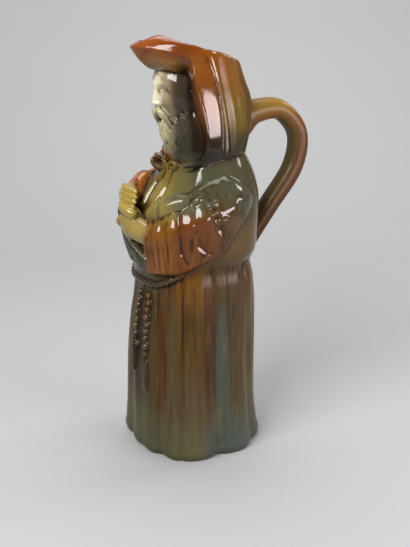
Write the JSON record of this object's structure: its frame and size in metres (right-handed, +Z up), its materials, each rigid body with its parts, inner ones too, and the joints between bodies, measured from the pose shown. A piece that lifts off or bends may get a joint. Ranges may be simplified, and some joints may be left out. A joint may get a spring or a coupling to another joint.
{
  "type": "figural pitcher",
  "caption": "Glazed earthenware pitcher shaped as a hooded, bearded friar; the open hood is the mouth, its peak the pouring spout, with a strap handle behind.",
  "frame": {"origin": "middle of the flat underside, on the surface it stands on", "axes": "+Z up; the figure and the spout face -Y; the handle is on +Y; +X is the figure's left"},
  "size_m": [0.1154, 0.1676, 0.3302],
  "materials": {
    "glazed_earthenware": "streaked amber, olive and grey-green lead glaze, very glossy"
  },
  "bodies": {
    "root": {"pitcher": "glazed_earthenware"}
  },
  "joints": []
}
